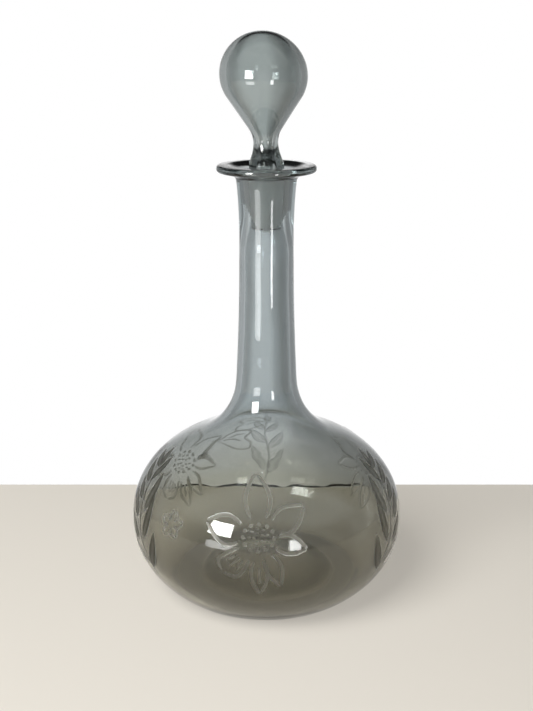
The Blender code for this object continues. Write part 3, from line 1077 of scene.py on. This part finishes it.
def lay_table(settings):
    """Lay the table, and a dark uneven strip that paints the shadow in the gap behind its far
    edge, which only glass shows.
    """
    wide, deep = TABLE_HALVES
    mesh = bmesh.new()
    bmesh.ops.create_grid(mesh, x_segments=1, y_segments=1, size=1)
    bmesh.ops.scale(mesh, vec=(wide, deep, 1), verts=mesh.verts)
    bmesh.ops.translate(mesh, vec=(0, settings.table_back - deep, 0), verts=mesh.verts)
    top = matt_finish("pale_matt_table", (*settings.table_color, 1), TABLE_ROUGHNESS)
    table = made("table", mesh, top)

    mesh = bmesh.new()
    bmesh.ops.create_grid(mesh, x_segments=GAP_SHADOW_STEPS, y_segments=1, size=1)
    for vertex in mesh.verts:
        swell = noise.noise(Vector((vertex.co.x * GAP_SHADOW_SWELLS, 0.5, 0)))
        half = settings.gap_shadow_height / 2 * (1 - abs(vertex.co.x) ** 3) * (1 + swell)
        vertex.co = (vertex.co.x * settings.gap_shadow_half_length, settings.table_back,
                     settings.gap_shadow_height * (0.5 + swell) + vertex.co.y * half)
    # Dark paint of the painted shadow in the gap behind the table
    dark = matt_finish("painted_gap_shadow", linear("2A2622"), GAP_SHADOW_ROUGHNESS)
    edge = made("gap_shadow_strip", mesh, dark)
    edge.visible_camera = False
    edge.visible_diffuse = False
    edge.visible_shadow = False


# Share of the backdrop's light by how far a direction leans to the right, from -1 to 1
BACKDROP_SHADES = (
    (-0.95, 1.0), (-0.72, 0.62), (-0.20, 0.62), (-0.11, 1.0), (0.012, 1.0), (0.055, 0.66),
    (0.15, 0.40), (0.72, 0.38), (0.95, 1.0))

# Parts of a direction between which the room changes that glass sees: the backdrop and the window
# side upwards, the mirrored room upwards, sideways and towards the back, and front to back
BACKDROP_FADE = (0.20, 0.36)
WINDOW_FADE = (0.15, 0.40)
MIRRORED_FADE = (0.04, 0.40)
ASIDE_FADE = (0.12, 0.45)
FRONT_FADE = (-0.2, 0.3)
BEHIND_FADE = (-0.1, 0.1)

# How much higher the backdrop ends for each step sideways
BACKDROP_RISE = 0.25

# Brightness of the dark ceiling and low on the window side, and share of the mirrored room's
# light that is left at its sides
CEILING_LIGHT = 0.03
LOW_WINDOW_LIGHT = 0.75
ASIDE_SHARE = 0.35


def shade_ramp(tree, across):
    """Colour ramp that holds the backdrop's shades, for a place across it from 0 to 1."""
    ramp = add_node(tree, "ShaderNodeValToRGB", links={"Fac": across})
    stops = ramp.color_ramp.elements
    while len(stops) < len(BACKDROP_SHADES):
        stops.new(1.0)
    for stop, (place, shade) in zip(stops, BACKDROP_SHADES):
        stop.position = (place + 1) / 2
        stop.color = (shade, shade, shade, 1)
    return ramp


def studio(settings):
    """A world that is white to the camera, soft as light, and a room to what glass shows."""
    world = bpy.data.worlds.new("studio")
    world.use_nodes = True
    tree = world.node_tree
    tree.nodes.clear()
    place = add_node(tree, "ShaderNodeTexCoord")
    axes = add_node(tree, "ShaderNodeSeparateXYZ", links={"Vector": place.outputs["Generated"]})
    sideways = add_node(
        tree, "ShaderNodeMath", {"operation": "ABSOLUTE"}, {0: axes.outputs["X"]})
    steep = add_node(
        tree, "ShaderNodeMath", {"operation": "MULTIPLY_ADD", 1: -BACKDROP_RISE},
        {0: sideways.outputs[0], 2: axes.outputs["Z"]})
    fades = []
    for source, (begin, end), first, last in (
            (steep.outputs[0], BACKDROP_FADE, 1.0, CEILING_LIGHT),
            (axes.outputs["Z"], WINDOW_FADE, LOW_WINDOW_LIGHT, settings.window_side),
            (axes.outputs["Z"], MIRRORED_FADE, 1.0, CEILING_LIGHT),
            (sideways.outputs[0], ASIDE_FADE, 1.0, ASIDE_SHARE),
            (axes.outputs["Y"], FRONT_FADE, settings.front_room, 1.0)):
        fade = add_node(
            tree, "ShaderNodeMapRange",
            {"interpolation_type": "SMOOTHSTEP", "From Min": begin, "From Max": end,
             "To Min": first, "To Max": last},
            {"Value": source})
        fades.append(fade.outputs["Result"])
    backdrop, window_side, mirrored, aside, front = fades
    mirrored = add_node(
        tree, "ShaderNodeMath", {"operation": "MULTIPLY"}, {0: mirrored, 1: front})
    mirrored = add_node(
        tree, "ShaderNodeMath", {"operation": "MULTIPLY"}, {0: mirrored.outputs[0], 1: aside})
    across = add_node(
        tree, "ShaderNodeMapRange", {"From Min": -1.0, "From Max": 1.0},
        {"Value": axes.outputs["X"]})
    shades = shade_ramp(tree, across.outputs["Result"])
    panels = add_node(
        tree, "ShaderNodeMath", {"operation": "MULTIPLY"},
        {0: backdrop, 1: shades.outputs["Color"]})
    behind = add_node(
        tree, "ShaderNodeMapRange", {"From Min": BEHIND_FADE[0], "From Max": BEHIND_FADE[1]},
        {"Value": axes.outputs["Y"]})
    through = add_node(
        tree, "ShaderNodeMix", {"data_type": "FLOAT"},
        {0: behind.outputs["Result"], 2: window_side, 3: panels.outputs[0]})
    path = add_node(tree, "ShaderNodeLightPath")
    room = add_node(
        tree, "ShaderNodeMix", {"data_type": "FLOAT", 2: 1.0},
        {0: path.outputs["Is Glossy Ray"], 3: mirrored.outputs[0]})
    # A refracted ray counts as glossy too, so this choice comes last
    room = add_node(
        tree, "ShaderNodeMix", {"data_type": "FLOAT"},
        {0: path.outputs["Is Transmission Ray"], 2: room.outputs[0], 3: through.outputs[0]})
    seen = add_node(
        tree, "ShaderNodeBackground", {"Color": (1, 1, 1, 1)}, {"Strength": room.outputs[0]})
    light = add_node(
        tree, "ShaderNodeBackground", {"Color": (1, 1, 1, 1), "Strength": settings.sky_light})
    shown = add_node(
        tree, "ShaderNodeMath", {"operation": "ADD"},
        {0: path.outputs["Is Camera Ray"], 1: path.outputs["Is Glossy Ray"]})
    shown = add_node(
        tree, "ShaderNodeMath", {"operation": "ADD", "use_clamp": True},
        {0: shown.outputs[0], 1: path.outputs["Is Transmission Ray"]})
    mix = add_node(
        tree, "ShaderNodeMixShader",
        links={0: shown.outputs[0], 1: light.outputs[0], 2: seen.outputs[0]})
    add_node(tree, "ShaderNodeOutputWorld", links={"Surface": mix.outputs[0]})
    return world


class DECANTER_OT_set_stage(bpy.types.Operator):
    """Lay the table, light it softly and place the camera"""

    bl_idname = "decanter.set_stage"
    bl_label = "Set the Stage"

    def execute(self, context):
        settings = context.scene.decanter_stage
        scene = context.scene
        lay_table(settings)
        scene.world = studio(settings)
        hang_lamps(settings)
        data = bpy.data.cameras.new("photo_camera")
        data.sensor_width = 36
        data.lens = settings.camera_lens
        camera = bpy.data.objects.new("photo_camera", data)
        camera.location = (0, -settings.camera_distance, settings.camera_height)
        camera.rotation_euler = (math.pi / 2 - settings.camera_pitch, 0, 0)
        scene.collection.objects.link(camera)
        scene.camera = camera
        scene.view_settings.view_transform = "Standard"
        return {"FINISHED"}


class DECANTER_PT_workshop(bpy.types.Panel):
    """Steps of making the decanter"""

    bl_idname = "DECANTER_PT_workshop"
    bl_label = "Decanter"
    bl_space_type = "VIEW_3D"
    bl_region_type = "UI"
    bl_category = "Decanter"

    def draw(self, context):
        for operator in OPERATORS:
            self.layout.operator(operator.bl_idname)
        scene = context.scene
        for settings in (scene.decanter_glass, scene.decanter_etching, scene.decanter_stage):
            for name in settings.__annotations__:
                self.layout.prop(settings, name)


OPERATORS = (
    DECANTER_OT_blow_body, DECANTER_OT_blow_stopper, DECANTER_OT_etch_globe, DECANTER_OT_set_stage)
CLASSES = (GlassSettings, EtchingSettings, StageSettings, *OPERATORS, DECANTER_PT_workshop)


def register():
    for each in CLASSES:
        bpy.utils.register_class(each)
    bpy.types.Scene.decanter_glass = PointerProperty(type=GlassSettings)
    bpy.types.Scene.decanter_etching = PointerProperty(type=EtchingSettings)
    bpy.types.Scene.decanter_stage = PointerProperty(type=StageSettings)


def unregister():
    del bpy.types.Scene.decanter_stage
    del bpy.types.Scene.decanter_etching
    del bpy.types.Scene.decanter_glass
    for each in reversed(CLASSES):
        bpy.utils.unregister_class(each)


def main():
    """Make every piece and the stage."""
    register()
    bpy.ops.decanter.set_stage()
    bpy.ops.decanter.blow_body()
    bpy.ops.decanter.blow_stopper()
    bpy.ops.decanter.etch_globe()


if __name__ == "__main__":
    main()
